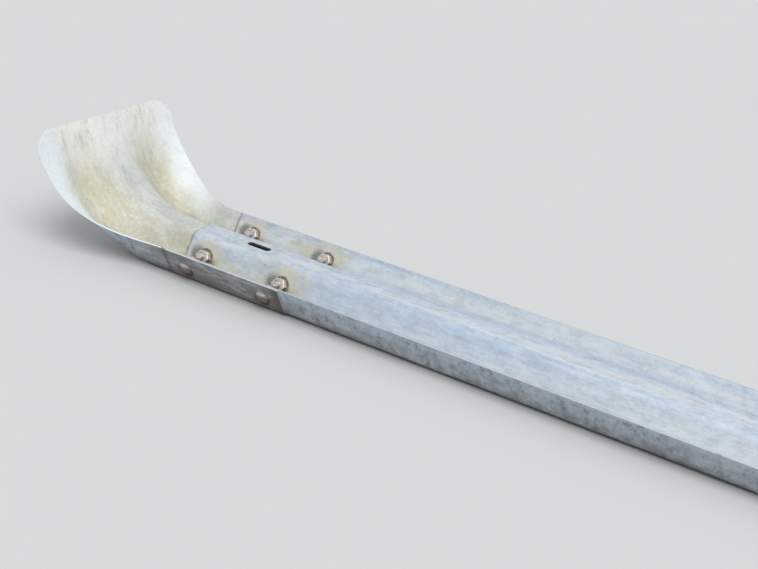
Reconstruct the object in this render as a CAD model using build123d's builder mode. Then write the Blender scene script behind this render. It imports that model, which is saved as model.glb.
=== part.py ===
"""Highway guardrail section: one corrugated rail panel with a flared end section bolted to it.

It lies traffic side down on its two crests, the way it shows its back: +X runs along the rail
towards the flared end, +Z points out of the back, and the XZ plane is the plane of symmetry.
The origin is under the middle of the whole length, on the floor.
"""
from build123d import *
from math import cos, radians, sin, tan
import os

os.makedirs("parts", exist_ok=True)

# Sheet and corrugation, given on the middle of the rail panel's sheet
sheet = 2.7
rail_depth = 83.0
slope_angle = 60.0
valley_flat = 46.0
bend_radius = 24.0
outer_slope = 74.0
lap_gap = 0.2

# Rail panel
post_spacing = 1905.0
bay_count = 2
splice_pitch = 215.9
splice_margin = 50.8
splice_height = 28.0
splice_slot_width = 23.0
splice_slot_length = 29.0
post_slot_width = 19.05
post_slot_length = 63.5

# Flared end section
fade_start = 15.0
neck_length = 20.0
flare_radius = 288.0
flare_angle = 73.0
tail_length = 40.0
tip_fold = 0.06
tip_corner = 46.0
tip_corner_bulge = 5.0
flare_stations = 10

# Splice bolts
bolt_diameter = 15.9
bolt_length = 32.0
bolt_chamfer = 1.5
head_diameter = 33.0
head_height = 8.0
head_rim = 2.0
shoulder_length = 22.0
shoulder_width = 17.0
shoulder_height = 5.0

# Splice nuts
nut_across_flats = 31.75
nut_height = 15.9
nut_recess_diameter = 25.4
nut_recess_depth = 4.0
nut_top_diameter = 30.0
nut_chamfer_angle = 30.0
thread_gap = 0.05

# What follows from these sizes
slope = radians(slope_angle)
nest = sheet + lap_gap
sheet_depth = rail_depth - sheet
inner_slope = (sheet_depth - 2 * bend_radius * (1 - cos(slope))) / sin(slope)
crest_y = valley_flat / 2 + 2 * bend_radius * sin(slope) + inner_slope * cos(slope)
half_sheet_width = valley_flat / 2 + inner_slope + outer_slope + 3 * bend_radius * slope
flare_turn = radians(flare_angle)
flare_length = neck_length + flare_radius * flare_turn + tail_length
lap_length = splice_pitch + 2 * splice_margin
panel_length = bay_count * post_spacing + lap_length


def fold_depth(fold):
    """Height from crest to valley on the middle of the sheet, at a share of the full fold."""
    bends = 2 * bend_radius / fold * (1 - cos(slope * fold))
    return bends + inner_slope * sin(slope * fold)


# Heights over the floor, and places along the rail
middle_z = sheet / 2 + nest + sheet_depth / 2
valley_z = middle_z + sheet_depth / 2
crest_z = middle_z - sheet_depth / 2
flare_reach = neck_length + flare_radius * sin(flare_turn) + tail_length * cos(flare_turn)
tip_front = (fold_depth(tip_fold) / 2 + nest + sheet / 2) * sin(flare_turn)
overall_length = panel_length + fade_start + flare_reach + tip_front
panel_start_x = -overall_length / 2
panel_end_x = panel_start_x + panel_length
lap_start_x = panel_end_x - lap_length
flare_start_x = panel_end_x + fade_start
far_splice = [panel_start_x + splice_margin, panel_start_x + splice_margin + splice_pitch]
lap_splice = [lap_start_x + splice_margin, lap_start_x + splice_margin + splice_pitch]
post_stations = [panel_start_x + lap_length / 2 + bay * post_spacing for bay in range(bay_count + 1)]


def trace_half(fold, offset):
    """Half the corrugation from the valley's middle to the edge, beside the middle of the sheet.

    Each bend keeps its developed length, so the sheet stays as wide where it is nearly flat.
    """
    angle = slope_angle * fold
    height = fold_depth(fold) / 2 + offset
    valley = Line((0, height), (valley_flat / 2, height))
    valley_bend = JernArc(valley @ 1, valley % 1, bend_radius / fold + offset, -angle)
    inner = Line(valley_bend @ 1, valley_bend @ 1 + valley_bend % 1 * inner_slope)
    crest_bend = JernArc(inner @ 1, inner % 1, bend_radius / fold - offset, 2 * angle)
    outer = Line(crest_bend @ 1, crest_bend @ 1 + crest_bend % 1 * outer_slope)
    return outer @ 1


def sheet_section(x, z, angle, fold, offset):
    """Closed section of the sheet, across the rail at x and z and turned up by an angle."""
    across = Plane((x, 0, z), x_dir=(0, 1, 0), z_dir=(cos(angle), 0, sin(angle)))
    with BuildSketch(across) as section:
        with BuildLine():
            back_edge = trace_half(fold, offset + sheet / 2)
            front_edge = trace_half(fold, offset - sheet / 2)
            Line(back_edge, front_edge)
            mirror(about=Plane.YZ)
        make_face()
    return section.sketch


def flare_section(distance):
    """Section at a distance along the flare: level neck, round bend, then a straight tail.

    The fold fades from full to almost none, easing in and out.
    """
    straight = min(distance, neck_length)
    turn = min(max(distance - neck_length, 0) / flare_radius, flare_turn)
    tail = distance - straight - flare_radius * turn
    x = flare_start_x + straight + flare_radius * sin(turn) + tail * cos(turn)
    z = middle_z + flare_radius * (1 - cos(turn)) + tail * sin(turn)
    share = distance / flare_length
    fold = 1 - (1 - tip_fold) * share**2 * (3 - 2 * share)
    return sheet_section(x, z, turn, fold, -nest)


def splice_plane(x, side, outward):
    """Plane on the middle of the panel's sheet at a splice hole, with its z out of the back.

    The hole is as far up the slope from the crest's bend on the outer side as on the inner one.
    """
    from_crest = bend_radius * sin(slope) + splice_height * cos(slope)
    rise = bend_radius * (1 - cos(slope)) + splice_height * sin(slope)
    return Plane(
        (x, side * (crest_y + outward * from_crest), crest_z + rise),
        x_dir=(1, 0, 0),
        z_dir=(0, -side * outward * sin(slope), cos(slope)),
    )


def splice_planes(stations):
    """The four rows of splice holes, on both slopes of both crests, at each station."""
    return [splice_plane(x, side, outward) for x in stations for side in (-1, 1) for outward in (1, -1)]


def cut_slots(planes, length, width):
    """Slots along the rail, square through the sheets at each plane."""
    for plane in planes:
        with BuildSketch(plane) as slot:
            SlotOverall(length, width)
        extrude(slot.sketch, amount=2 * nest, both=True, mode=Mode.SUBTRACT)


def cut_splice_slots(stations):
    """Slots for the splice bolts."""
    cut_slots(splice_planes(stations), splice_slot_length, splice_slot_width)


def cut_post_slots(stations):
    """Slots for the post bolts, in the flat of the valley."""
    cut_slots([Plane((x, 0, valley_z)) for x in stations], post_slot_length, post_slot_width)


def axial_plane(plane):
    """Plane that holds a bolt's axis: its x is along the rail and its y along the axis."""
    return Plane(plane.origin, x_dir=plane.x_dir, z_dir=plane.x_dir.cross(plane.z_dir))


# Rail panel: one length of corrugated sheet, slotted at both ends and at each post
with BuildPart() as rail_panel:
    extrude(sheet_section(panel_start_x, middle_z, 0, 1, 0), amount=panel_length)
    cut_splice_slots(far_splice + lap_splice)
    cut_post_slots(post_stations)

rail_panel.part.label = "rail_panel"
export_step(rail_panel.part, "parts/rail_panel.step")

# Flared end section: it nests under the panel's end, then its fold fades as it curls up
tip_plane = Plane(
    (
        flare_start_x + flare_reach,
        0,
        middle_z + flare_radius * (1 - cos(flare_turn)) + tail_length * sin(flare_turn),
    ),
    x_dir=(0, 1, 0),
    z_dir=(sin(flare_turn), 0, -cos(flare_turn)),
)

with BuildPart() as flared_end_section:
    extrude(sheet_section(lap_start_x, middle_z, 0, 1, -nest), amount=lap_length + fade_start)
    loft([flare_section(flare_length * step / (flare_stations - 1)) for step in range(flare_stations)])
    cut_splice_slots(lap_splice)
    cut_post_slots(post_stations[-1:])
    with BuildSketch(tip_plane) as corners:
        for side in (-1, 1):
            with BuildLine():
                on_tip = (side * (half_sheet_width - tip_corner), 0)
                on_edge = (side * half_sheet_width, -tip_corner)
                bulged = side * (half_sheet_width - tip_corner / 2) + side * tip_corner_bulge
                ThreePointArc(on_tip, (bulged, tip_corner_bulge - tip_corner / 2), on_edge)
                Polyline(
                    on_edge,
                    (side * (half_sheet_width + tip_corner), -tip_corner),
                    (side * (half_sheet_width + tip_corner), tip_corner),
                    (side * (half_sheet_width - tip_corner), tip_corner),
                    on_tip,
                )
            make_face()
    extrude(amount=fold_depth(tip_fold) + 2 * nest, both=True, mode=Mode.SUBTRACT)

flared_end_section.part.label = "flared_end_section"
export_step(flared_end_section.part, "parts/flared_end_section.step")

# Splice bolts: domed head under the end section, oval shoulder in the slots, shank through the nut
for index, plane in enumerate(splice_planes(lap_splice), start=1):
    seat = plane.offset(-nest - sheet / 2)
    with BuildPart() as splice_bolt:
        with BuildSketch(axial_plane(seat)):
            with BuildLine():
                dome = ThreePointArc(
                    (-head_diameter / 2, -head_rim),
                    (0, -head_height),
                    (head_diameter / 2, -head_rim),
                )
                Polyline(
                    dome @ 1,
                    (head_diameter / 2, 0),
                    (bolt_diameter / 2, 0),
                    (bolt_diameter / 2, bolt_length - bolt_chamfer),
                    (bolt_diameter / 2 - bolt_chamfer, bolt_length),
                    (0, bolt_length),
                )
                mirror(about=Plane.YZ)
            make_face()
            split(bisect_by=Plane.YZ)
        revolve(axis=Axis(seat.origin, seat.z_dir))
        with BuildSketch(seat):
            SlotOverall(shoulder_length, shoulder_width)
        extrude(amount=shoulder_height)
    splice_bolt.part.label = f"splice_bolt_{index}"
    export_step(splice_bolt.part, f"parts/splice_bolt_{index}.step")

# Splice nuts: hexagons with rounded-off top corners and a recess that clears the bolt's shoulder
nut_corner_radius = nut_across_flats / 2 / cos(radians(30))
nut_chamfer_height = (nut_corner_radius - nut_top_diameter / 2) * tan(radians(nut_chamfer_angle))

for index, plane in enumerate(splice_planes(lap_splice), start=1):
    seat = plane.offset(sheet / 2)
    with BuildPart() as splice_nut:
        with BuildSketch(seat):
            RegularPolygon(nut_across_flats / 2, 6, major_radius=False)
        extrude(amount=nut_height)
        with BuildSketch(axial_plane(seat)):
            Polygon(
                (0, 0),
                (nut_corner_radius, 0),
                (nut_corner_radius, nut_height - nut_chamfer_height),
                (nut_top_diameter / 2, nut_height),
                (0, nut_height),
                align=None,
            )
        revolve(axis=Axis(seat.origin, seat.z_dir), mode=Mode.INTERSECT)
        with BuildSketch(seat):
            Circle(nut_recess_diameter / 2)
        extrude(amount=nut_recess_depth, mode=Mode.SUBTRACT)
        with BuildSketch(seat):
            Circle(bolt_diameter / 2 + thread_gap)
        extrude(amount=nut_height, mode=Mode.SUBTRACT)
    splice_nut.part.label = f"splice_nut_{index}"
    export_step(splice_nut.part, f"parts/splice_nut_{index}.step")
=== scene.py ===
"""Looks of a dismantled highway guardrail section: weathered zinc, rust at its fasteners and a studio.

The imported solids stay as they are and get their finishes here. What is added rides on them: the
threads on the bolt ends and the rust that has grown round the nuts. Lengths are in metres.
"""
from functools import reduce
from math import cos, pi, radians, sin

import bpy
import numpy as np
from mathutils import Matrix, Vector


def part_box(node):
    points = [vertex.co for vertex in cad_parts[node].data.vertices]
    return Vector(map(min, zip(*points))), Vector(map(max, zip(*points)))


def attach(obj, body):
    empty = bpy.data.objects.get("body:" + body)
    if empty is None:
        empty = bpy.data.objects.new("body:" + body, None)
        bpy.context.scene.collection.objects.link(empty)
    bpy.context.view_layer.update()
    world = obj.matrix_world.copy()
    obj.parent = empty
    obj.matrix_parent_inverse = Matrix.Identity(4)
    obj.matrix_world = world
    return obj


bl_info = {
    "name": "Weathered Guardrail Section",
    "version": (1, 0, 0),
    "blender": (4, 5, 0),
    "location": "3D View > Sidebar > Guardrail",
    "description": "Finishes a corrugated guardrail section with a flared end and sets it in a studio",
    "category": "Object",
}

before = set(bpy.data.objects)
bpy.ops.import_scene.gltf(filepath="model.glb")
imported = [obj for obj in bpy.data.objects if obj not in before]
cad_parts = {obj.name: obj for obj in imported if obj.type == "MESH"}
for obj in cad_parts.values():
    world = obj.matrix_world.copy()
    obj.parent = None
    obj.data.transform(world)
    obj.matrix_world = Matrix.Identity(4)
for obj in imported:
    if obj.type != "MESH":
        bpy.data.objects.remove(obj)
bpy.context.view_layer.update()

BOLTS = sorted(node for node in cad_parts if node.startswith("splice_bolt"))
NUTS = sorted(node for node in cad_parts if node.startswith("splice_nut"))
MM = 0.001
SHEET = 2.7 * MM
NUT_HEIGHT = 15.9 * MM
SLOPE = radians(60)


def middle(node):
    """Middle of a node's box."""
    low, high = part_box(node)
    return (low + high) / 2


# Places along the section: the ends of the sheets, where the flare is widest, the rows of splice bolts
# and of the free end's holes, and the post-bolt slots. Equal places fall together once they are rounded.
PANEL_START, PANEL_END = (corner.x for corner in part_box("rail_panel"))
FLARE_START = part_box("flared_end_section")[0].x
FLARE_TIP, TIP_HALF_WIDTH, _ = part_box("flared_end_section")[1]
WIDEST_X = FLARE_TIP - 28 * MM
NUT_MIDDLES = [middle(node) for node in NUTS]
SPLICE_XS = sorted({round(point.x, 5) for point in NUT_MIDDLES})
FREE_XS = [PANEL_START + PANEL_END - x for x in SPLICE_XS]
POST_SLOT_XS = [np.mean(FREE_XS), (PANEL_START + PANEL_END) / 2, np.mean(SPLICE_XS)]

# Places across it: a hole's middle lies down the bolt from the middle of its nut
HALF_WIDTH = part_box("rail_panel")[1].y
CREST_Y = sum(abs(point.y) for point in NUT_MIDDLES) / len(NUT_MIDDLES)
NUT_TO_HOLE = (NUT_HEIGHT + SHEET) / 2
HOLE_SHIFT = NUT_TO_HOLE * sin(SLOPE)
HOLE_YS = sorted({
    round(abs(point.y) + HOLE_SHIFT * np.sign(abs(point.y) - CREST_Y), 5) for point in NUT_MIDDLES
})
HOLE_Z = NUT_MIDDLES[0].z - NUT_TO_HOLE * cos(SLOPE)

# A long cut edge, and how far up the outer slope it lies
EDGE_Y, EDGE_Z = 155.9 * MM, 81.0 * MM
EDGE_REACH = EDGE_Y * cos(SLOPE) + EDGE_Z * sin(SLOPE)

# Half a post-bolt slot with a little of the sheet round it
SLOT_HALF_LENGTH = 33 * MM
SLOT_HALF_WIDTH = 10 * MM

# The tone of each layer that lays one besides those in the settings
TONES = {
    "strokes": (0.74, 0.81, 0.88),
    "drops": (0.36, 0.41, 0.48),
    "lap_blotches": (0.33, 0.36, 0.45),
    "feathers": (0.58, 0.65, 0.71),
    "washed_film": (0.62, 0.73, 0.84),
    "lap_dirt": (0.225, 0.21, 0.19),
    "lap_smears": (0.60, 0.61, 0.61),
    "lap_end": (0.11, 0.085, 0.065),
    # painted shadow beside each nut
    "painted_nut_shadow": (0.155, 0.17, 0.195),
    "cut_edge": (0.46, 0.48, 0.49),
    # darker grey on the flare's ridge: partly dirt, partly painted shade
    "ridge": (0.42, 0.42, 0.375),
    # darker low on the flare: dirt and painted shade
    "low_wing": (0.47, 0.465, 0.42),
    "worn_wing": (0.42, 0.42, 0.38),
    "rust_dust": (0.34, 0.31, 0.27),
}

# The light and the dark tone of each layer that lays two
TONE_PAIRS = {
    "crystals": ((0.72, 0.79, 0.86), (0.34, 0.40, 0.48)),
    "lines": ((0.74, 0.79, 0.85), (0.36, 0.39, 0.44)),
    "mottle": ((0.76, 0.83, 0.90), (0.29, 0.35, 0.43)),
    "salt": ((0.80, 0.85, 0.89), (0.30, 0.34, 0.40)),
    # road film on the side that faces down, with painted shade
    "film_and_shade": ((0.66, 0.75, 0.84), (0.235, 0.25, 0.29)),
    "lap_tints": ((0.66, 0.60, 0.72), (0.50, 0.61, 0.57)),
    "wing_blotches": ((0.80, 0.79, 0.72), (0.43, 0.42, 0.35)),
    "wing_grit": ((0.84, 0.85, 0.80), (0.31, 0.30, 0.25)),
    "wing_strokes": ((0.90, 0.95, 0.98), (0.40, 0.46, 0.54)),
    "fasteners": ((0.72, 0.67, 0.63), (0.47, 0.435, 0.40)),
}


class GuardrailSizes(bpy.types.PropertyGroup):
    """Sizes of what is added to the solids."""

    thread_pitch: bpy.props.FloatProperty(
        name="Thread Pitch", description="Rise of a bolt's thread in one turn",
        default=2.3 * MM, unit="LENGTH",
    )
    thread_height: bpy.props.FloatProperty(
        name="Thread Height", description="Height of a thread's crest over the shank",
        default=0.75 * MM, unit="LENGTH",
    )
    shank_radius: bpy.props.FloatProperty(
        name="Shank Radius", description="Radius of a bolt's plain shank",
        default=7.95 * MM, unit="LENGTH",
    )
    nut_height: bpy.props.FloatProperty(
        name="Nut Height", description="Height of a nut over the sheet",
        default=NUT_HEIGHT, unit="LENGTH",
    )
    nut_flats: bpy.props.FloatProperty(
        name="Nut Across Flats", description="Width of a nut from flat to flat",
        default=31.75 * MM, unit="LENGTH",
    )
    crust_radius: bpy.props.FloatProperty(
        name="Crust Radius", description="Mean outer radius of the rust round a nut",
        default=19.5 * MM, unit="LENGTH",
    )
    crust_height: bpy.props.FloatProperty(
        name="Crust Height", description="Thickness of the rust against a nut",
        default=1.1 * MM, unit="LENGTH",
    )


class GuardrailColours(bpy.types.PropertyGroup):
    """Colours of the zinc and of what has stained it."""

    pale_zinc: bpy.props.FloatVectorProperty(
        name="Pale Zinc", description="Weathered zinc where the rain washes it",
        default=(0.50, 0.615, 0.75), subtype="COLOR",
    )
    blue_zinc: bpy.props.FloatVectorProperty(
        name="Blue Zinc", description="Weathered zinc in its duller patches",
        default=(0.415, 0.525, 0.66), subtype="COLOR",
    )
    chalk: bpy.props.FloatVectorProperty(
        name="Chalk", description="White bloom on old zinc",
        default=(0.74, 0.79, 0.80), subtype="COLOR",
    )
    tan: bpy.props.FloatVectorProperty(
        name="Tan Stain", description="Dried dirty water",
        default=(0.60, 0.56, 0.42), subtype="COLOR",
    )
    cream: bpy.props.FloatVectorProperty(
        name="Cream Streaks", description="Faint warm streaks along the rail",
        default=(0.72, 0.74, 0.735), subtype="COLOR",
    )
    dull_tan: bpy.props.FloatVectorProperty(
        name="Dull Tan", description="Fine dirt in the pores of the zinc",
        default=(0.40, 0.39, 0.34), subtype="COLOR",
    )
    violet: bpy.props.FloatVectorProperty(
        name="Violet Streaks", description="Faint violet streaks along the rail",
        default=(0.58, 0.57, 0.66), subtype="COLOR",
    )
    yellow_stain: bpy.props.FloatVectorProperty(
        name="Yellow Stain", description="Broad stain in the flare's troughs",
        default=(0.555, 0.525, 0.365), subtype="COLOR",
    )
    rim: bpy.props.FloatVectorProperty(
        name="Rim", description="Clean zinc along the flare's outer edges",
        default=(0.86, 0.935, 0.985), subtype="COLOR",
    )
    # Pale zinc towards the flare's tip, made paler still as painted light
    cream_tip_and_painted_light: bpy.props.FloatVectorProperty(
        name="Cream Rim", description="Pale zinc towards the tip of the flare",
        default=(0.96, 0.96, 0.92), subtype="COLOR",
    )
    cream_chalk: bpy.props.FloatVectorProperty(
        name="Cream Chalk", description="Bloom that covers the back of the end section",
        default=(0.68, 0.69, 0.65), subtype="COLOR",
    )
    # Road film on the side that faces down, with painted shade
    film_and_shade: bpy.props.FloatVectorProperty(
        name="Road Film", description="Dull film on the side that faced the road",
        default=(0.35, 0.395, 0.44), subtype="COLOR",
    )
    grime: bpy.props.FloatVectorProperty(
        name="Grime", description="Road dirt in corners and under the rail",
        default=(0.17, 0.16, 0.14), subtype="COLOR",
    )
    rust: bpy.props.FloatVectorProperty(
        name="Rust", description="Rust where the zinc is gone",
        default=(0.21, 0.115, 0.065), subtype="COLOR",
    )
    orange_rust: bpy.props.FloatVectorProperty(
        name="Orange Rust", description="Fresh dusty rust",
        default=(0.36, 0.19, 0.095), subtype="COLOR",
    )
    brown_dirt: bpy.props.FloatVectorProperty(
        name="Brown Dirt", description="Rusty dirt low on the nuts and bolt heads",
        default=(0.26, 0.19, 0.13), subtype="COLOR",
    )
    dark_rust: bpy.props.FloatVectorProperty(
        name="Dark Rust", description="Old rust in the cracks",
        default=(0.075, 0.045, 0.03), subtype="COLOR",
    )


class GuardrailStudio(bpy.types.PropertyGroup):
    """Camera, lamp, sky and floor."""

    camera_place: bpy.props.FloatVectorProperty(
        name="Camera Place", description="Camera from the floor under the rail panel's lapped end",
        default=(-1.560, 2.139, 1.184), subtype="XYZ", unit="LENGTH",
    )
    camera_pitch: bpy.props.FloatProperty(
        name="Camera Pitch", description="How far the camera looks down",
        default=radians(24.41), unit="ROTATION",
    )
    camera_heading: bpy.props.FloatProperty(
        name="Camera Heading", description="Turn of the view from the rail's line towards its far side",
        default=radians(63.29), unit="ROTATION",
    )
    camera_roll: bpy.props.FloatProperty(
        name="Camera Roll", description="Roll of the camera", default=radians(7.82), unit="ROTATION",
    )
    lens: bpy.props.FloatProperty(
        name="Lens", description="Focal length on a 36 mm wide frame", default=56.0, unit="CAMERA",
    )
    floor_colour: bpy.props.FloatVectorProperty(
        name="Floor", description="Colour of the studio floor", default=(0.64, 0.64, 0.64), subtype="COLOR",
    )
    floor_bounce: bpy.props.FloatVectorProperty(
        name="Floor Bounce", description="Colour that the floor throws back at the section",
        default=(0.38, 0.38, 0.39), subtype="COLOR",
    )
    floor_reach: bpy.props.FloatProperty(
        name="Floor Reach", description="Half the width of the floor", default=30.0, unit="LENGTH",
    )
    sky_colour: bpy.props.FloatVectorProperty(
        name="Sky", description="Colour of the light from all round",
        default=(0.97, 0.985, 1.0), subtype="COLOR",
    )
    low_sky: bpy.props.FloatProperty(
        name="Low Sky", description="Level of the light from just under the horizon", default=0.3025,
    )
    high_sky: bpy.props.FloatProperty(
        name="High Sky", description="Level of the light from overhead", default=0.6875,
    )
    backdrop: bpy.props.FloatProperty(
        name="Backdrop", description="Level of the sky where it is seen itself", default=0.70,
    )
    lamp_strength: bpy.props.FloatProperty(
        name="Key Strength", description="Level of the soft key lamp", default=1.86,
    )
    lamp_softness: bpy.props.FloatProperty(
        name="Key Softness", description="Angle that the key lamp spans",
        default=radians(35), unit="ROTATION",
    )
    lamp_direction: bpy.props.FloatVectorProperty(
        name="Key Direction", description="Direction from the section to the key lamp",
        default=(-0.50, 0.48, 1.0), subtype="DIRECTION",
    )


def add_mix(nodes, data_type="FLOAT"):
    """Sockets of a new Mix node: its share, its first and second value, and its result."""
    node = nodes.new("ShaderNodeMix")
    node.data_type = data_type
    first, second, result = {"FLOAT": (2, 3, 0), "RGBA": (6, 7, 2)}[data_type]
    return node.inputs[0], node.inputs[first], node.inputs[second], node.outputs[result]


class Finish:
    """One procedural material on Object coordinates, painted in layers that lie over each other."""

    def __init__(self, name, metallic):
        self.material = bpy.data.materials.new(name)
        self.material.use_nodes = True
        self.nodes = self.material.node_tree.nodes
        self.links = self.material.node_tree.links
        self.nodes.clear()
        output = self.nodes.new("ShaderNodeOutputMaterial")
        self.shader = self.nodes.new("ShaderNodeBsdfPrincipled")
        self.shader.inputs["Metallic"].default_value = metallic
        self.links.new(self.shader.outputs["BSDF"], output.inputs["Surface"])
        coordinates = self.nodes.new("ShaderNodeTexCoord")
        self.place = coordinates.outputs["Object"]
        self.x, self.y, self.z = self.axes(self.place)
        self.up = self.axes(coordinates.outputs["Normal"])[2]
        self.colour = None

    def feed(self, socket, value):
        """Link a socket to another one, or give it a plain value."""
        if isinstance(value, bpy.types.NodeSocket):
            self.links.new(value, socket)
        elif socket.type == "RGBA":
            socket.default_value = (*value, 1.0)
        else:
            socket.default_value = value

    def axes(self, vector):
        """The three parts of a vector."""
        node = self.nodes.new("ShaderNodeSeparateXYZ")
        self.links.new(vector, node.inputs["Vector"])
        return node.outputs

    def maths(self, operation, first, second=0.5, clamp=False):
        """One step of arithmetic."""
        node = self.nodes.new("ShaderNodeMath")
        node.operation = operation
        node.use_clamp = clamp
        self.feed(node.inputs[0], first)
        self.feed(node.inputs[1], second)
        return node.outputs[0]

    def times(self, *values):
        """Product of some values."""
        return reduce(lambda first, second: self.maths("MULTIPLY", first, second), values)

    def plus(self, first, second):
        """Total of two values."""
        return self.maths("ADD", first, second)

    def less(self, first, second):
        """The first value less the second."""
        return self.maths("SUBTRACT", first, second)

    def size(self, value):
        """A value without its sign."""
        return self.maths("ABSOLUTE", value)

    def swayed(self, value, noise, reach):
        """A value moved both ways by a noise whose middle is 0.5."""
        return self.plus(value, self.times(self.less(noise, 0.5), reach))

    def ease(self, value, start, end):
        """0 before start and 1 past end, with a smooth step between them."""
        node = self.nodes.new("ShaderNodeMapRange")
        node.interpolation_type = "SMOOTHSTEP"
        falls = start > end
        self.feed(node.inputs["Value"], value)
        node.inputs["From Min"].default_value = min(start, end)
        node.inputs["From Max"].default_value = max(start, end)
        node.inputs["To Min"].default_value = float(falls)
        node.inputs["To Max"].default_value = float(not falls)
        return node.outputs["Result"]

    def blend(self, share, first, second, data_type="RGBA"):
        """Mix two colours, or two values, by a share."""
        *inputs, result = add_mix(self.nodes, data_type)
        for socket, value in zip(inputs, (share, first, second)):
            self.feed(socket, value)
        return result

    def tint(self, share, tone, amount=None):
        """Lay a tone over the colour by a share, or by a share times an amount."""
        if amount is not None:
            share = self.times(share, amount)
        self.colour = self.blend(share, self.colour, tone)

    def mottle(self, noise, amount, light, dark):
        """Lay a light tone where a noise is high and a dark one where it is low."""
        self.tint(self.ease(noise, 0.50, 0.66), light, amount)
        self.tint(self.ease(noise, 0.50, 0.34), dark, amount)

    def stretch(self, vector, scale, turn=(0.0, 0.0, 0.0)):
        """Coordinates scaled along each axis after a turn."""
        node = self.nodes.new("ShaderNodeMapping")
        self.links.new(vector, node.inputs["Vector"])
        node.inputs["Scale"].default_value = scale
        node.inputs["Rotation"].default_value = turn
        return node.outputs["Vector"]

    def grain(self, scale, detail=4.0, roughness=0.55, turn=(0.0, 0.0, 0.0), on=None):
        """Cloudy noise from 0 to 1: its scale, its octaves of detail, and how strong the fine ones are.

        With a scale for each axis it is drawn out along those where the scale is small.
        """
        vector = on or self.place
        if isinstance(scale, tuple):
            vector = self.stretch(vector, scale, turn)
            scale = 1.0
        node = self.nodes.new("ShaderNodeTexNoise")
        self.links.new(vector, node.inputs["Vector"])
        node.inputs["Scale"].default_value = scale
        node.inputs["Detail"].default_value = detail
        node.inputs["Roughness"].default_value = roughness
        return node.outputs["Fac"]

    def cells(self, scale, on=None):
        """Cells like crystals: distance from each middle, and two numbers of each cell's own."""
        node = self.nodes.new("ShaderNodeTexVoronoi")
        self.links.new(on or self.place, node.inputs["Vector"])
        node.inputs["Scale"].default_value = scale
        own = self.nodes.new("ShaderNodeSeparateColor")
        self.links.new(node.outputs["Color"], own.inputs[0])
        return node.outputs["Distance"], own.outputs[0], own.outputs[1]

    def warp(self, scale, amount):
        """Coordinates pushed about by noise."""
        noise = self.nodes.new("ShaderNodeTexNoise")
        self.links.new(self.place, noise.inputs["Vector"])
        noise.inputs["Scale"].default_value = scale
        noise.inputs["Detail"].default_value = 3.0
        push = self.nodes.new("ShaderNodeVectorMath")
        push.operation = "MULTIPLY_ADD"
        self.links.new(noise.outputs["Color"], push.inputs[0])
        push.inputs[1].default_value = (amount, amount, amount)
        self.links.new(self.place, push.inputs[2])
        return push.outputs[0]

    def done(self, roughness, *reliefs):
        """Connect colour, roughness and bumps, each a height from 0 to 1, its depth and its strength."""
        self.feed(self.shader.inputs["Base Color"], self.colour)
        self.feed(self.shader.inputs["Roughness"], roughness)
        normal = self.shader.inputs["Normal"]
        for height, depth, strength in reversed(reliefs):
            bump = self.nodes.new("ShaderNodeBump")
            bump.inputs["Distance"].default_value = depth
            bump.inputs["Strength"].default_value = strength
            self.feed(bump.inputs["Height"], height)
            self.links.new(bump.outputs["Normal"], normal)
            normal = bump.inputs["Normal"]
        return self.material


def up_slopes(finish):
    """How far out and how far up a point lies, both measured along the corrugation's slopes."""
    return finish.times(finish.size(finish.y), cos(SLOPE)), finish.times(finish.z, sin(SLOPE))


def flattened(finish):
    """Coordinates on the flattened sheet: along the rail, across it over the slopes, and the side."""
    out, rise = up_slopes(finish)
    past_crest = finish.maths("GREATER_THAN", finish.size(finish.y), CREST_Y)
    across = finish.blend(past_crest, finish.less(out, rise), finish.plus(out, rise), "FLOAT")
    join = finish.nodes.new("ShaderNodeCombineXYZ")
    for socket, value in zip(join.inputs, (finish.x, across, finish.maths("SIGN", finish.y))):
        finish.feed(socket, value)
    return join.outputs[0]


def spangle(finish, flat):
    """Zinc crystals about 12 mm wide, each with its own shade and feathered at its own angle."""
    _, shade, angle = finish.cells(80.0, finish.warp(60.0, 10 * MM))
    turned = finish.nodes.new("ShaderNodeVectorRotate")
    turned.rotation_type = "Z_AXIS"
    finish.links.new(flat, turned.inputs["Vector"])
    finish.links.new(finish.times(angle, 2 * pi), turned.inputs["Angle"])
    feather = finish.grain((110.0, 900.0, 300.0), 3.0, 0.65, on=turned.outputs[0])
    return finish.plus(finish.times(shade, 0.4), finish.times(feather, 0.6))


def nearest(finish, value, places):
    """Distance of a coordinate from the nearest of some places."""
    gaps = [finish.size(finish.less(value, place)) for place in places]
    return reduce(lambda first, second: finish.maths("MINIMUM", first, second), gaps)


def from_holes(finish, stations, ragged):
    """Distance on the slopes from the middle of the nearest splice hole, with a ragged edge."""
    along = nearest(finish, finish.x, stations)
    across = finish.times(nearest(finish, finish.size(finish.y), HOLE_YS), 1 / cos(SLOPE))
    square = finish.plus(finish.times(along, along), finish.times(across, across))
    return finish.swayed(finish.maths("SQRT", square), finish.grain(48.0, 5.0, 0.6), 2 * ragged)


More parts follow.
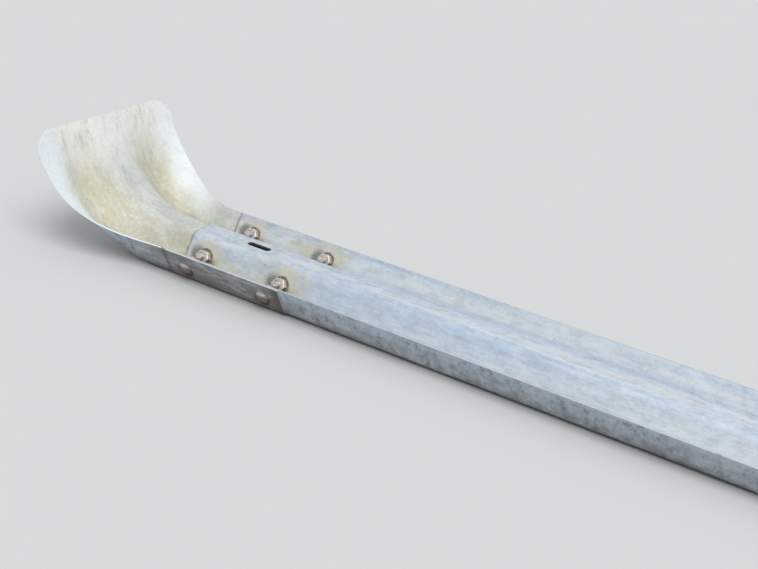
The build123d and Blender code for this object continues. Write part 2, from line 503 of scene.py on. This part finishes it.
def lay_zinc(finish, colours, flat, chalkiness, line_scales):
    """Weathered zinc: two greys in patches, feathered crystals, fine lines along the rail, white bloom.

    Returns the crystals' shade and the bloom's share, for the roughness and the bumps.
    """
    patches = finish.grain((3.0, 6.6, 6.6), 6.0, 0.62)
    finish.colour = finish.blend(finish.ease(patches, 0.34, 0.64), colours.blue_zinc, colours.pale_zinc)
    crystals = spangle(finish, flat)
    light, dark = TONE_PAIRS["crystals"]
    finish.tint(finish.ease(crystals, 0.44, 0.72), light, 0.20)
    finish.tint(finish.ease(crystals, 0.48, 0.24), dark, 0.17)
    strokes = finish.grain((34.0, 190.0, 9.0), 5.0, 0.68, turn=(0.0, 0.0, 0.9), on=flat)
    finish.tint(finish.ease(strokes, 0.50, 0.72), TONES["strokes"], 0.26)
    light, dark = TONE_PAIRS["lines"]
    drawn_out = finish.stretch(finish.place, line_scales)
    for coarseness, light_amount, dark_amount in ((1.0, 0.30, 0.26), (0.3, 0.34, 0.24), (0.13, 0.30, 0.26)):
        lines = finish.grain(coarseness, 4.0, 0.7, on=drawn_out)
        finish.tint(finish.ease(lines, 0.48, 0.72), light, light_amount)
        finish.tint(finish.ease(lines, 0.45, 0.28), dark, dark_amount)
    mottle = finish.grain((78.0, 130.0, 130.0), 7.0, 0.72)
    finish.mottle(mottle, 0.27, *TONE_PAIRS["mottle"])
    finish.mottle(finish.grain(520.0, 3.0, 0.6), 0.12, *TONE_PAIRS["salt"])
    bloom = finish.grain((11.0, 19.8, 19.8), 9.0, 0.70)
    bloom = finish.ease(bloom, 0.64 - 0.3 * chalkiness, 0.84 - 0.2 * chalkiness)
    finish.tint(bloom, colours.chalk, 0.70)
    return crystals, bloom


def lay_scratches(finish, flat, tone):
    """Thin bright scratches of a few centimetres, in two slanting directions."""
    for angle in (0.35, -0.5):
        thin = finish.grain((16.0, 700.0, 40.0), 1.0, 0.5, turn=(0.0, 0.0, angle), on=flat)
        finish.tint(finish.ease(thin, 0.73, 0.78), tone, 0.55)


def road_side(finish):
    """1 on the faces that turn down to the road side, 0 on the back."""
    return finish.ease(finish.up, -0.15, -0.42)


def lay_road_film_and_shade(finish, tone):
    """Dull film on the road side, which faces down: road dirt and painted shade, with paler feathers across
    it, a washed upper part and mottling.
    """
    front = road_side(finish)
    blotches = finish.grain(17.0, 8.0, 0.62, on=finish.warp(9.0, 50 * MM))
    # Darker on the faces that turn down: road film, and painted shade of the side that faces the floor.
    finish.tint(finish.times(front, finish.ease(blotches, 0.74, 0.34)), tone, 0.74)
    feathers = finish.ease(finish.grain((85.0, 15.0, 15.0), 7.0, 0.66), 0.52, 0.70)
    feathers = finish.times(feathers, finish.ease(blotches, 0.40, 0.60), front)
    finish.tint(feathers, TONES["feathers"], 0.62)
    drift = finish.grain((20.4, 34.0, 34.0), 8.0, 0.70)
    height = finish.swayed(finish.z, drift, 110 * MM)
    finish.tint(finish.times(finish.ease(height, 34 * MM, 76 * MM), front), TONES["washed_film"], 0.66)
    clouds = finish.grain((60.0, 36.0, 36.0), 8.0, 0.74)
    finish.mottle(clouds, finish.times(front, 0.78), *TONE_PAIRS["film_and_shade"])


def lay_low_dirt(finish, tone, top, amount):
    """Road dirt that thickens from a height down to the floor, in the troughs and under the crests."""
    clouds = finish.grain((10.0, 20.0, 20.0), 8.0, 0.68)
    height = finish.swayed(finish.z, clouds, -110 * MM)
    finish.tint(finish.ease(height, top, -10 * MM), tone, amount)


def lay_slot_shade(finish, tone):
    """Painted shade, in dark rust's colour, on the upright walls of the post-bolt slots in the valley."""
    along = nearest(finish, finish.x, POST_SLOT_XS)
    beside = finish.size(finish.y)
    inside = finish.times(
        finish.ease(along, SLOT_HALF_LENGTH + 3 * MM, SLOT_HALF_LENGTH),
        finish.ease(finish.up, 0.80, 0.45),
        finish.ease(beside, SLOT_HALF_WIDTH + 2 * MM, SLOT_HALF_WIDTH),
    )
    finish.tint(inside, tone, 0.92)


def lay_specks(finish, tone):
    """A few dark specks of a millimetre or two."""
    distance, chance, _ = finish.cells(110.0)
    spots = finish.times(finish.ease(distance, 0.20, 0.07), finish.ease(chance, 0.93, 0.99))
    finish.tint(spots, tone, 0.65)


def rust_tone(finish, colours):
    """Rust from nearly black through brown to a little orange, in grains of a few millimetres."""
    grains = finish.ease(finish.grain(150.0, 9.0, 0.72), 0.36, 0.60)
    dust = finish.ease(finish.grain(60.0, 7.0, 0.7), 0.50, 0.68)
    tone = finish.blend(grains, colours.dark_rust, colours.rust)
    return finish.blend(finish.times(dust, 0.7), tone, colours.orange_rust)


def lay_fastener_stains_and_shadows(finish, colours, rust):
    """Tan halo round each fastener, rust that runs down from it, a painted shadow beside it, a dark ring."""
    away = from_holes(finish, SPLICE_XS, 12 * MM)
    halo = finish.times(finish.ease(away, 62 * MM, 20 * MM), finish.ease(finish.up, -0.45, 0.10))
    finish.tint(halo, colours.tan, 0.62)
    runs = finish.times(
        finish.ease(finish.grain((240.0, 16.0, 16.0), 4.0, 0.62), 0.36, 0.60),
        finish.ease(away, 44 * MM, 18 * MM),
        finish.ease(finish.z, HOLE_Z + 10 * MM, HOLE_Z - 6 * MM),
    )
    finish.tint(runs, rust, 0.80)
    # Painted shadow of each nut: dark grey-blue on the faces that turn up, a little along the rail from the
    # nut.
    beside = from_holes(finish, [x + 23 * MM for x in SPLICE_XS], 9 * MM)
    painted_nut_shadow = finish.times(finish.ease(beside, 28 * MM, 10 * MM), finish.ease(finish.up, 0.05, 0.25))
    finish.tint(painted_nut_shadow, TONES["painted_nut_shadow"], 0.80)
    ring = finish.ease(from_holes(finish, SPLICE_XS, 5 * MM), 22.5 * MM, 17.5 * MM)
    finish.tint(ring, colours.dark_rust, 0.85)


def lay_rail_streaks(finish, colours):
    """Streaks along the rail: warm ones on the slopes, white, blue and violet ones, flecks and drops."""
    streaks = finish.grain((1.3, 30.0, 30.0), 6.0, 0.62)
    height = finish.swayed(finish.z, streaks, -120 * MM)
    finish.tint(finish.ease(height, 96 * MM, 46 * MM), colours.cream, 0.55)
    flecks = finish.grain((95.0, 190.0, 190.0), 6.0, 0.70)
    finish.mottle(flecks, 0.27, colours.chalk, colours.dull_tan)
    finish.tint(finish.ease(streaks, 0.50, 0.70), colours.cream, 0.45)
    white = finish.grain((0.9, 34.0, 34.0), 5.0, 0.62, turn=(0.0, 0.012, 0.012))
    finish.mottle(white, 0.60, colours.chalk, colours.blue_zinc)
    drops = finish.grain((23.0, 46.0, 46.0), 6.0, 0.66)
    finish.mottle(drops, 0.36, colours.chalk, TONES["drops"])
    violet = finish.grain((1.7, 22.0, 22.0), 4.0, 0.55, turn=(0.0, 0.02, 0.03))
    finish.tint(finish.ease(violet, 0.52, 0.74), colours.violet, 0.35)


def lay_lap_weather(finish, colours):
    """What shows only on the lapped end: coarse blotches, faint tints, and tan low on the slopes."""
    along = finish.swayed(finish.x, finish.grain(40.0, 6.0, 0.66), 60 * MM)
    near_lap = finish.ease(along, PANEL_END - 355 * MM, PANEL_END - 320 * MM)
    blotches = finish.grain((36.4, 62.4, 62.4), 8.0, 0.70)
    finish.mottle(blotches, finish.times(near_lap, 0.50), colours.chalk, TONES["lap_blotches"])
    tints = finish.grain((24.8, 40.3, 40.3), 5.0, 0.6)
    finish.mottle(tints, finish.times(near_lap, 0.40), *TONE_PAIRS["lap_tints"])
    washed = finish.grain((8.4, 19.6, 19.6), 7.0, 0.66)
    washed = finish.plus(washed, finish.times(finish.z, -2.6))
    finish.tint(finish.times(finish.ease(washed, 0.30, 0.48), near_lap), colours.tan, 0.62)


def lay_free_end_rust(finish, colours, rust):
    """Rust round the free end's open holes and on its cut end, in a tan halo."""
    away = from_holes(finish, FREE_XS, 7 * MM)
    finish.tint(finish.ease(away, 40 * MM, 14 * MM), colours.tan, 0.5)
    along = finish.plus(finish.x, finish.times(finish.grain(60.0, 9.0, 0.72), -30 * MM))
    end = finish.ease(along, PANEL_START - 6 * MM, PANEL_START - 16 * MM)
    finish.tint(finish.maths("MAXIMUM", finish.ease(away, 19 * MM, 12 * MM), end), rust, 0.9)


def lay_long_edges(finish, rust):
    """Dull grey on the long cut edges, with rust spots."""
    out, rise = up_slopes(finish)
    cut = finish.ease(finish.plus(out, rise), EDGE_REACH - 2.2 * MM, EDGE_REACH - 1.4 * MM)
    spots = finish.ease(finish.grain(30.0, 6.0, 0.7), 0.60, 0.69)
    finish.tint(cut, finish.blend(spots, TONES["cut_edge"], rust), 0.75)


def rail_finish(colours):
    """Rail panel: bluish washed zinc with streaks along it, rust at the splice and at the free end."""
    finish = Finish("rail_zinc", metallic=0.30)
    flat = flattened(finish)
    rust = rust_tone(finish, colours)
    crystals, bloom = lay_zinc(finish, colours, flat, chalkiness=0.30, line_scales=(2.6, 430.0, 430.0))
    lay_rail_streaks(finish, colours)
    lay_lap_weather(finish, colours)
    lay_scratches(finish, flat, colours.chalk)
    # Road film and painted shade on the faces that turn down
    lay_road_film_and_shade(finish, colours.film_and_shade)
    lay_low_dirt(finish, colours.grime, top=36 * MM, amount=0.62)
    # Stains round the fasteners, and a painted shadow beside each nut
    lay_fastener_stains_and_shadows(finish, colours, rust)
    lay_free_end_rust(finish, colours, rust)
    lay_long_edges(finish, rust)
    # Painted shade in the post-bolt slots
    lay_slot_shade(finish, colours.dark_rust)
    lay_specks(finish, colours.grime)
    roughness = finish.plus(finish.times(bloom, 0.16), finish.times(crystals, -0.24))
    dents = finish.grain((3.5, 10.0, 10.0), 2.0, 0.4)
    pits = finish.grain(420.0, 3.0)
    return finish.done(
        finish.maths("ADD", roughness, 0.66, clamp=True),
        (dents, 4 * MM, 0.35), (crystals, 0.4 * MM, 0.30), (pits, 0.3 * MM, 0.30),
    )


def wing_share(finish):
    """Place across the flare as a share of its half width there, wandering with noise.

    The half width grows by a smooth step from the panel's at the lap to the tip's.
    """
    widening = finish.times(finish.ease(finish.x, PANEL_END, WIDEST_X), TIP_HALF_WIDTH - HALF_WIDTH)
    share = finish.maths("DIVIDE", finish.size(finish.y), finish.plus(widening, HALF_WIDTH))
    return finish.swayed(share, finish.grain(7.0, 8.0, 0.66), 0.42)


def lay_wing_stains(finish, colours, share, mottle, height):
    """Yellow in the flare's troughs, dirt and painted shade on its ridge and at its foot, pale zinc and
    painted light towards the tip, worn spots.
    """
    band = finish.times(
        finish.ease(share, 0.06, 0.30),
        finish.ease(share, 0.95, 0.70),
        finish.ease(mottle, 0.16, 0.56),
        finish.ease(finish.z, 460 * MM, 60 * MM),
    )
    finish.tint(band, colours.yellow_stain, 0.95)
    # Darker grey along the flare's ridge: partly dirt, partly painted shade.
    ridge = finish.times(finish.ease(share, 0.40, 0.02), finish.ease(mottle, 0.30, 0.62))
    finish.tint(ridge, TONES["ridge"], 0.50)
    # Darker low on the flare and paler towards its tip: dirt low down and pale zinc high up, with painted
    # shade low and painted light high.
    finish.tint(finish.ease(height, 130 * MM, 20 * MM), TONES["low_wing"], 0.52)
    finish.tint(finish.ease(height, 140 * MM, 270 * MM), colours.cream_tip_and_painted_light, 0.90)
    worn = finish.grain((28.8, 67.2, 28.8), 9.0, 0.74)
    finish.tint(finish.ease(worn, 0.50, 0.68), TONES["worn_wing"], 0.40)
    blotches = finish.grain((18.0, 36.0, 18.0), 7.0, 0.68)
    finish.mottle(blotches, 0.34, *TONE_PAIRS["wing_blotches"])


def lay_wing_rims(finish, colours, share):
    """Clean rims that start past the lap, brighter on the near side, and grit that is finer on them."""
    along = finish.plus(finish.x, finish.times(finish.y, 0.35))
    rim = finish.times(
        finish.ease(share, 0.58, 0.86), finish.ease(along, PANEL_END - 10 * MM, PANEL_END + 90 * MM)
    )
    washed = finish.plus(finish.times(finish.ease(finish.y, -50 * MM, 50 * MM), 0.36), 0.50)
    finish.tint(finish.times(rim, washed), colours.rim)
    clean = finish.maths("MAXIMUM", rim, finish.ease(finish.z, 120 * MM, 240 * MM))
    amount = finish.less(0.23, finish.times(clean, 0.10))
    finish.mottle(finish.grain(105.0, 7.0, 0.68), amount, *TONE_PAIRS["wing_grit"])


def lay_wing_front(finish, colours, height):
    """Pale zinc with strokes across it, where the wing's road side has curled up off the road: bare zinc,
    and painted light on that shaded side.
    """
    bare_zinc_and_light = finish.times(finish.ease(finish.up, -0.02, -0.30), finish.ease(height, 60 * MM, 160 * MM))
    # Paler high on the road side: bare zinc and painted light.
    finish.tint(bare_zinc_and_light, colours.rim, 0.62)
    strokes = finish.grain((22.0, 130.0, 22.0), 7.0, 0.72)
    finish.mottle(strokes, finish.times(bare_zinc_and_light, 0.42), *TONE_PAIRS["wing_strokes"])


def lay_lap_dirt(finish):
    """Brown dirt on the road side of the lapped end, with pale smears along it and a dark end."""
    front = road_side(finish)
    near_lap = finish.times(front, finish.ease(finish.x, PANEL_END + 140 * MM, PANEL_END - 20 * MM))
    clouds = finish.grain((14.4, 33.6, 33.6), 8.0, 0.70)
    finish.tint(finish.times(near_lap, finish.ease(clouds, 0.30, 0.58)), TONES["lap_dirt"], 0.85)
    smears = finish.ease(finish.grain((11.0, 70.0, 70.0), 7.0, 0.70), 0.51, 0.61)
    finish.tint(finish.times(smears, near_lap), TONES["lap_smears"], 0.68)
    from_end = finish.plus(finish.less(finish.x, FLARE_START), finish.times(clouds, -30 * MM))
    finish.tint(finish.times(finish.ease(from_end, 22 * MM, -8 * MM), front), TONES["lap_end"], 0.78)


def lay_lap_line(finish, tone):
    """Darker band on the end section along the panel's end."""
    off_line = finish.size(finish.less(finish.x, PANEL_END))
    off_line = finish.plus(off_line, finish.times(finish.grain(60.0, 6.0), -12 * MM))
    finish.tint(finish.ease(off_line, 4 * MM, -5 * MM), tone, 0.75)


def flare_finish(colours):
    """End section: chalky zinc, with the tan that dirty water left in the troughs that run up the flare."""
    finish = Finish("flare_zinc", metallic=0.12)
    flat = flattened(finish)
    _, bloom = lay_zinc(finish, colours, flat, chalkiness=0.80, line_scales=(7.0, 380.0, 7.0))
    finish.tint(finish.ease(finish.up, -0.10, 0.15), colours.cream_chalk, 0.68)
    share = wing_share(finish)
    mottle = finish.grain((13.0, 31.2, 13.0), 8.0, 0.66)
    height = finish.swayed(finish.z, mottle, 100 * MM)
    lay_wing_stains(finish, colours, share, mottle, height)
    lay_wing_rims(finish, colours, share)
    lay_scratches(finish, flat, colours.chalk)
    # Road film and painted shade on the faces that turn down
    lay_road_film_and_shade(finish, colours.film_and_shade)
    lay_wing_front(finish, colours, height)
    lay_lap_dirt(finish)
    lay_low_dirt(finish, colours.grime, top=45 * MM, amount=0.55)
    # Stains round the fasteners, and a painted shadow beside each nut
    lay_fastener_stains_and_shadows(finish, colours, rust_tone(finish, colours))
    lay_lap_line(finish, colours.grime)
    # Painted shade in the post-bolt slots
    lay_slot_shade(finish, colours.dark_rust)
    lay_specks(finish, colours.grime)
    dents = finish.grain(6.0, 2.0, 0.4)
    pits = finish.grain(380.0, 3.0)
    return finish.done(
        finish.maths("ADD", finish.times(bloom, 0.12), 0.62, clamp=True),
        (dents, 4 * MM, 0.35), (bloom, 0.3 * MM, 0.3), (pits, 0.3 * MM, 0.3),
    )


def fastener_finish(name, colours):
    """Bolts and nuts: grey zinc, rusted in patches, with brown dirt low down and on the bolt heads."""
    finish = Finish(name, metallic=0.45)
    rust = rust_tone(finish, colours)
    clouds = finish.grain(150.0, 5.0, 0.6)
    light, dark = TONE_PAIRS["fasteners"]
    finish.colour = finish.blend(finish.ease(clouds, 0.28, 0.66), dark, light)
    patches = finish.ease(finish.grain(110.0, 8.0, 0.72), 0.60, 0.70)
    finish.tint(patches, rust, 0.8)
    height = finish.plus(finish.z, finish.times(clouds, -12 * MM))
    finish.tint(finish.ease(height, HOLE_Z + 2 * MM, HOLE_Z - 10 * MM), colours.brown_dirt, 0.55)
    dirty = finish.times(finish.ease(finish.up, 0.05, -0.35), finish.ease(clouds, 0.20, 0.50))
    finish.tint(dirty, rust, 0.72)
    finish.tint(dirty, colours.grime, 0.62)
    cracks = finish.ease(finish.grain(300.0, 6.0, 0.72), 0.58, 0.72)
    finish.tint(cracks, colours.dark_rust, 0.32)
    roughness = finish.maths("ADD", finish.times(patches, 0.35), 0.42, clamp=True)
    return finish.done(roughness, (clouds, 0.6 * MM, 0.4), (finish.grain(700.0, 4.0), 0.3 * MM, 0.4))


def crust_finish(colours):
    """Scaly rust under dust: dark and orange-brown flakes."""
    finish = Finish("rust_scale", metallic=0.0)
    flakes = finish.grain(340.0, 8.0, 0.7)
    finish.colour = finish.blend(finish.ease(flakes, 0.38, 0.66), colours.dark_rust, colours.rust)
    finish.tint(finish.ease(finish.grain(150.0, 5.0), 0.55, 0.75), colours.orange_rust, 0.6)
    finish.tint(finish.ease(finish.grain(80.0, 6.0, 0.7), 0.36, 0.60), TONES["rust_dust"], 0.45)
    return finish.done(finish.plus(finish.times(flakes, 0.2), 0.75), (flakes, 0.8 * MM, 0.8))


def dress(node, material):
    """Put a finish into every material slot of a solid."""
    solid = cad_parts[node]
    if not solid.material_slots:
        solid.data.materials.append(material)
    for slot in solid.material_slots:
        slot.material = material


def add_piece(name, shapes, material):
    """Join (points, faces) of like shapes into a mesh object at the origin that rides on the section.

    The faces of each shape count on from the points of those before it.
    """
    starts = np.cumsum([0] + [len(points) for points, _ in shapes[:-1]])
    points = np.concatenate([points for points, _ in shapes])
    faces = np.concatenate([faces + start for (_, faces), start in zip(shapes, starts)])
    mesh = bpy.data.meshes.new(name)
    mesh.from_pydata(points.tolist(), [], faces.tolist())
    mesh.materials.append(material)
    mesh.shade_smooth()
    mesh.update()
    piece = bpy.data.objects.new(name, mesh)
    bpy.context.scene.collection.objects.link(piece)
    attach(piece, "root")


def grid_faces(rows, columns):
    """Triangles of a grid whose columns close on themselves, two for each of its squares."""
    row, column = np.meshgrid(np.arange(rows - 1), np.arange(columns), indexing="ij")
    following = (column + 1) % columns
    corners = (row * columns + column, row * columns + following,
               (row + 1) * columns + following, (row + 1) * columns + column)
    squares = np.stack(corners, axis=-1).reshape(-1, 4)
    return np.concatenate([squares[:, [0, 1, 2]], squares[:, [0, 2, 3]]])


def bolt_axis(nut):
    """Direction out of the back at a splice hole: square to the slope that the hole is in."""
    side = np.sign(nut.y)
    outward = np.sign(abs(nut.y) - CREST_Y)
    return np.array([0.0, -side * outward * sin(SLOPE), cos(SLOPE)])


def round_axis(base, axis, height, radius, angle):
    """Points round an axis.

    Each is the base plus its height along the axis, plus its radius times the cosine of its angle along
    the rail and times the sine of its angle up the slope.
    """
    along = np.array([1.0, 0.0, 0.0])
    up = np.cross(axis, along)
    return (base + height[..., None] * axis
            + (radius * np.cos(angle))[..., None] * along + (radius * np.sin(angle))[..., None] * up)


def thread_ridge(base, axis, length, sizes):
    """Ridge of a thread: a helix round the shank that carries a three-cornered section.

    At turn t the helix is at angle 2 pi t and height pitch times t. The section's crest stands out by
    the thread's height, which fades over the first and last quarter turn, and its feet are sunk a
    little into the shank, nearly a pitch apart. The helix stops short by about that width.
    """
    steps_per_turn = 28
    fading_turns, missing_turns = 0.25, 0.8
    section_width = 0.92 * sizes.thread_pitch
    sunk = 0.1 * MM
    turns = length / sizes.thread_pitch - missing_turns
    steps = int(turns * steps_per_turn)
    turn = np.linspace(0, turns, steps + 1)[:, None]
    fade = np.clip(np.minimum(turn, turns - turn) / fading_turns, 0, 1)
    rise = np.array([0.0, 0.5, 1.0]) * section_width
    radius = sizes.shank_radius - sunk + np.array([0.0, 1.0, 0.0]) * (sizes.thread_height + sunk) * fade
    points = round_axis(base, axis, turn * sizes.thread_pitch + rise, radius, 2 * pi * turn)
    last = steps * 3
    caps = np.array([[0, 1, 2], [last + 2, last + 1, last]])
    return points.reshape(-1, 3), np.concatenate([grid_faces(steps + 1, 3)[:, ::-1], caps])


def rust_collar(seat, axis, sizes, chance):
    """Rust collar against a nut: a low mound round the nut's foot whose outline and thickness waver.

    Across the collar, at share s from its inner to its outer edge, the height is the crust's height
    times (1 - s) to the power 0.7, and it ends just under the sheet's face. Round the collar, its
    height and outer radius are multiplied by 1 plus a sum of five waves of random size and phase. The
    inner edge is just inside the nut's flats, the outer one stays outside them, and the base is flat.
    """
    around, across = 72, 7
    inside_nut, least_width = 0.4 * MM, 0.6 * MM
    edge_depth, base_depth = 0.15 * MM, 0.3 * MM
    angle = np.linspace(0, 2 * pi, around, endpoint=False)[None, :]
    share = np.linspace(0, 1, across)[:, None]
    counts = np.arange(2, 7)[:, None]
    wave_sizes = chance.uniform(0.015, 0.045, counts.shape)
    phases = chance.uniform(0, 2 * pi, counts.shape)
    waver = 1 + (wave_sizes * np.sin(counts * angle + phases)).sum(axis=0)[None, :]
    flat_radius = sizes.nut_flats / 2 / np.cos((angle + pi / 6) % (pi / 3) - pi / 6)
    inner = flat_radius - inside_nut
    outer = np.maximum(sizes.crust_radius * waver, flat_radius + least_width)
    radius = inner + (outer - inner) * share
    height = sizes.crust_height * waver * (1 - share) ** 0.7 - edge_depth * share
    top = round_axis(seat, axis, height, radius, angle)
    base = round_axis(seat, axis, np.full_like(radius, -base_depth), radius, angle)
    shell = np.concatenate([top, base[::-1]])
    faces = grid_faces(len(shell) + 1, around) % (len(shell) * around)
    return shell.reshape(-1, 3), faces[:, ::-1]


def far_end(node, base, axis):
    """How far a node reaches from a base along an axis."""
    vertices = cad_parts[node].data.vertices
    places = np.empty(3 * len(vertices), dtype=np.float32)
    vertices.foreach_get("co", places)
    return ((places.reshape(-1, 3) - base) @ axis).max()


class GUARDRAIL_OT_finish_sheets(bpy.types.Operator):
    """Give the rail panel and the flared end section their weathered zinc"""

    bl_idname = "guardrail.finish_sheets"
    bl_label = "Finish Sheets"

    def execute(self, context):
        colours = context.scene.guardrail_colours
        dress("rail_panel", rail_finish(colours))
        dress("flared_end_section", flare_finish(colours))
        return {"FINISHED"}


class GUARDRAIL_OT_finish_fasteners(bpy.types.Operator):
    """Give the splice bolts and nuts their worn and rusted zinc"""

    bl_idname = "guardrail.finish_fasteners"
    bl_label = "Finish Fasteners"

    def execute(self, context):
        colours = context.scene.guardrail_colours
        for name, nodes in (("bolt_zinc", BOLTS), ("nut_zinc", NUTS)):
            zinc = fastener_finish(name, colours)
            for node in nodes:
                dress(node, zinc)
        return {"FINISHED"}


class GUARDRAIL_OT_threads(bpy.types.Operator):
    """Add the threads on the bolt ends that stand out of the nuts"""

    bl_idname = "guardrail.threads"
    bl_label = "Bolt Threads"

    def execute(self, context):
        sizes = context.scene.guardrail_sizes
        shapes = []
        for bolt, nut in zip(BOLTS, NUT_MIDDLES):
            axis = bolt_axis(nut)
            start = sizes.nut_height / 2
            length = far_end(bolt, np.array(nut), axis) - start
            shapes.append(thread_ridge(np.array(nut) + start * axis, axis, length, sizes))
        add_piece("bolt_threads", shapes, bpy.data.materials["bolt_zinc"])
        return {"FINISHED"}


class GUARDRAIL_OT_rust_collars(bpy.types.Operator):
    """Add the rust that has grown round the foot of each nut"""

    bl_idname = "guardrail.rust_collars"
    bl_label = "Rust Collars"

    def execute(self, context):
        sizes = context.scene.guardrail_sizes
        chance = np.random.default_rng(11)
        shapes = []
        for nut in NUT_MIDDLES:
            axis = bolt_axis(nut)
            seat = np.array(nut) - sizes.nut_height / 2 * axis
            shapes.append(rust_collar(seat, axis, sizes, chance))
        add_piece("rust_collars", shapes, crust_finish(context.scene.guardrail_colours))
        return {"FINISHED"}


def direct_view(nodes, links):
    """1 for what the camera sees, itself or in a reflection, and 0 for light that is only scattered."""
    path = nodes.new("ShaderNodeLightPath")
    seen = path.outputs["Is Camera Ray"]
    for name in ("Is Glossy Ray", "Is Transmission Ray"):
        either = nodes.new("ShaderNodeMath")
        either.operation = "MAXIMUM"
        links.new(seen, either.inputs[0])
        links.new(path.outputs[name], either.inputs[1])
        seen = either.outputs[0]
    return seen


def add_floor(studio):
    """Plain pale floor, wide enough to fill the view."""
    reach = studio.floor_reach
    corners = [[-reach, -reach, 0], [reach, -reach, 0], [reach, reach, 0], [-reach, reach, 0]]
    mesh = bpy.data.meshes.new("studio_floor")
    mesh.from_pydata(corners, [], [[0, 1, 2, 3]])
    floor = bpy.data.objects.new("studio_floor", mesh)
    bpy.context.scene.collection.objects.link(floor)
    material = bpy.data.materials.new("studio_floor")
    material.use_nodes = True
    nodes, links = material.node_tree.nodes, material.node_tree.links
    shader = nodes["Principled BSDF"]
    share, bounced, seen, tone = add_mix(nodes, "RGBA")
    bounced.default_value = (*studio.floor_bounce, 1.0)
    seen.default_value = (*studio.floor_colour, 1.0)
    links.new(direct_view(nodes, links), share)
    links.new(tone, shader.inputs["Base Color"])
    shader.inputs["Roughness"].default_value = 0.9
    mesh.materials.append(material)


def add_sky(studio):
    """Even light from all round, seen by the camera and in reflections as a pale backdrop."""
    world = bpy.data.worlds.new("studio_sky")
    bpy.context.scene.world = world
    world.use_nodes = True
    nodes, links = world.node_tree.nodes, world.node_tree.links
    background = nodes["Background"]
    split = nodes.new("ShaderNodeSeparateXYZ")
    links.new(nodes.new("ShaderNodeTexCoord").outputs["Generated"], split.inputs[0])
    height = nodes.new("ShaderNodeMapRange")
    height.interpolation_type = "SMOOTHSTEP"
    links.new(split.outputs["Z"], height.inputs["Value"])
    height.inputs["From Min"].default_value = -0.1
    height.inputs["From Max"].default_value = 0.9
    height.inputs["To Min"].default_value = studio.low_sky
    height.inputs["To Max"].default_value = studio.high_sky
    share, scattered, seen, level = add_mix(nodes)
    links.new(direct_view(nodes, links), share)
    links.new(height.outputs["Result"], scattered)
    seen.default_value = studio.backdrop
    links.new(level, background.inputs["Strength"])
    background.inputs["Color"].default_value = (*studio.sky_colour, 1.0)


def add_lamp(studio):
    """Soft key lamp from above, over the rail's near side and towards its free end."""
    lamp = bpy.data.lights.new("key_lamp", "SUN")
    lamp.energy = studio.lamp_strength
    lamp.angle = studio.lamp_softness
    holder = bpy.data.objects.new("key_lamp", lamp)
    holder.rotation_euler = Vector(studio.lamp_direction).to_track_quat("Z", "Y").to_euler()
    bpy.context.scene.collection.objects.link(holder)


def add_camera(studio):
    """Camera where the photograph was taken from, turned to the section."""
    data = bpy.data.cameras.new("camera")
    data.lens = studio.lens
    data.sensor_width = 36.0
    camera = bpy.data.objects.new("camera", data)
    heading, pitch = studio.camera_heading, studio.camera_pitch
    forward = Vector((cos(heading) * cos(pitch), -sin(heading) * cos(pitch), -sin(pitch)))
    right = forward.cross(Vector((0, 0, 1))).normalized()
    up = right.cross(forward)
    turned = Matrix((right, up, -forward)).transposed().to_4x4()
    place = Vector((PANEL_END, 0, 0)) + Vector(studio.camera_place)
    camera.matrix_world = Matrix.Translation(place) @ turned @ Matrix.Rotation(studio.camera_roll, 4, "Z")
    bpy.context.scene.collection.objects.link(camera)
    bpy.context.scene.camera = camera


class GUARDRAIL_OT_stage(bpy.types.Operator):
    """Add the floor, the lamp, the sky and the camera"""

    bl_idname = "guardrail.stage"
    bl_label = "Studio"

    def execute(self, context):
        studio = context.scene.guardrail_studio
        add_floor(studio)
        add_sky(studio)
        add_lamp(studio)
        add_camera(studio)
        context.scene.view_settings.view_transform = "Standard"
        return {"FINISHED"}


class GUARDRAIL_PT_pieces(bpy.types.Panel):
    """Lists what makes up the finished section"""

    bl_label = "Guardrail Section"
    bl_idname = "GUARDRAIL_PT_pieces"
    bl_space_type = "VIEW_3D"
    bl_region_type = "UI"
    bl_category = "Guardrail"

    def draw(self, context):
        for operator in OPERATORS:
            self.layout.operator(operator.bl_idname)


SETTINGS = {
    "guardrail_sizes": GuardrailSizes,
    "guardrail_colours": GuardrailColours,
    "guardrail_studio": GuardrailStudio,
}
OPERATORS = (
    GUARDRAIL_OT_finish_sheets,
    GUARDRAIL_OT_finish_fasteners,
    GUARDRAIL_OT_threads,
    GUARDRAIL_OT_rust_collars,
    GUARDRAIL_OT_stage,
)


def register():
    for name, setting in SETTINGS.items():
        bpy.utils.register_class(setting)
        setattr(bpy.types.Scene, name, bpy.props.PointerProperty(type=setting))
    for operator in OPERATORS:
        bpy.utils.register_class(operator)
    bpy.utils.register_class(GUARDRAIL_PT_pieces)


def unregister():
    bpy.utils.unregister_class(GUARDRAIL_PT_pieces)
    for operator in reversed(OPERATORS):
        bpy.utils.unregister_class(operator)
    for name, setting in SETTINGS.items():
        delattr(bpy.types.Scene, name)
        bpy.utils.unregister_class(setting)


def main():
    register()
    bpy.ops.guardrail.finish_sheets()
    bpy.ops.guardrail.finish_fasteners()
    bpy.ops.guardrail.threads()
    bpy.ops.guardrail.rust_collars()
    bpy.ops.guardrail.stage()


if __name__ == "__main__":
    main()
